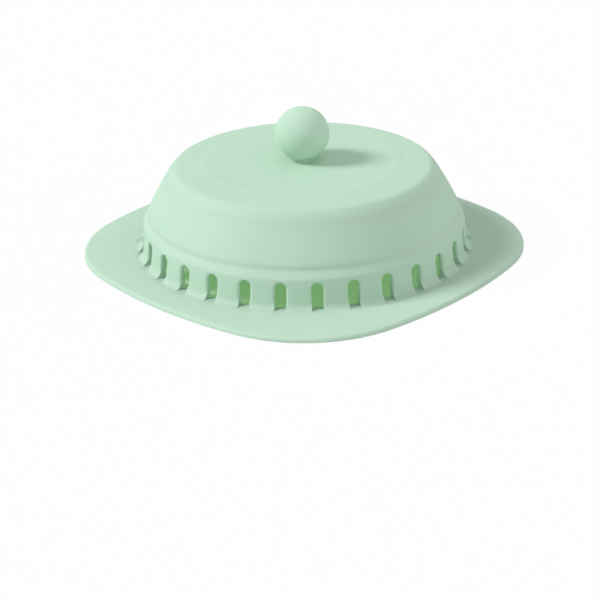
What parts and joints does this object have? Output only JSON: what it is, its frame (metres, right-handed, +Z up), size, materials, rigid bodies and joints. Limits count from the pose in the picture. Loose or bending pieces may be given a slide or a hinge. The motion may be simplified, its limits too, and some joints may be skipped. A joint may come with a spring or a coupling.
{
  "type": "sink strainer",
  "caption": "Silicone sink strainer: a square mat over the drain, a slotted collar that lets water through, and a dome with a ball knob that is pressed down to close the drain.",
  "frame": {"origin": "middle of the mat's underside, on the surface that the strainer lies on", "axes": "+Z up along the axis of the dome, +X and +Y square to the mat's sides"},
  "size_m": [0.15, 0.15, 0.0541],
  "materials": {
    "mint_silicone": "moulded mint green silicone, matte"
  },
  "bodies": {
    "base": {"base_mat": "mint_silicone", "strainer_collar": "mint_silicone", "folding_wall": "mint_silicone"},
    "press_top": {"press_cap": "mint_silicone", "ball_knob": "mint_silicone"}
  },
  "joints": [
    {"name": "press", "type": "slide", "parent": "base", "child": "press_top", "axis": [0, 0, -1], "range_m": [0, 0.028], "deforming": ["folding_wall"]}
  ]
}
